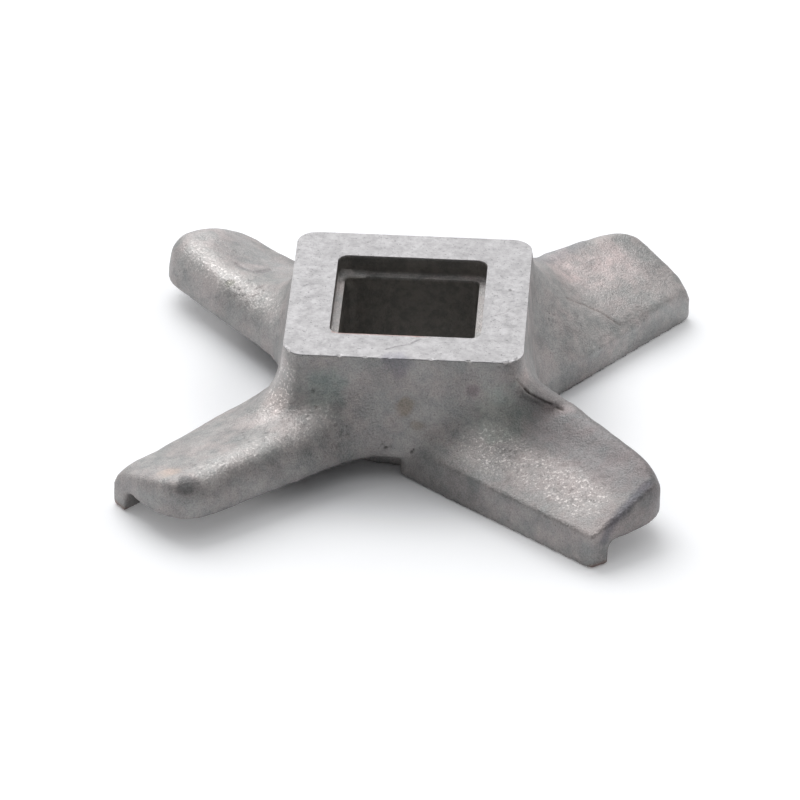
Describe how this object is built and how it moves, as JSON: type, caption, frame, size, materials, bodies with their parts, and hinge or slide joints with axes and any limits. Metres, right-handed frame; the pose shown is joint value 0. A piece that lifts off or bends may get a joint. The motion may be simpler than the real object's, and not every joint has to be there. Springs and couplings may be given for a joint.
{
  "type": "meat grinder knife",
  "caption": "Cross-shaped cast meat grinder knife with a square hub, a square drive hole and raised blades that lean one way and cut on narrow lands underneath.",
  "frame": {"origin": "middle of the drive hole, on the plane of the cutting lands", "axes": "+Z from the cutting plane to the ground top of the hub, X and Y square to the hub's sides"},
  "size_m": [0.0452, 0.0452, 0.0108],
  "materials": {
    "cast_metal": "as-cast grey skin with a fine grain, hub top and cutting lands ground"
  },
  "bodies": {
    "root": {"knife": "cast_metal"}
  },
  "joints": []
}
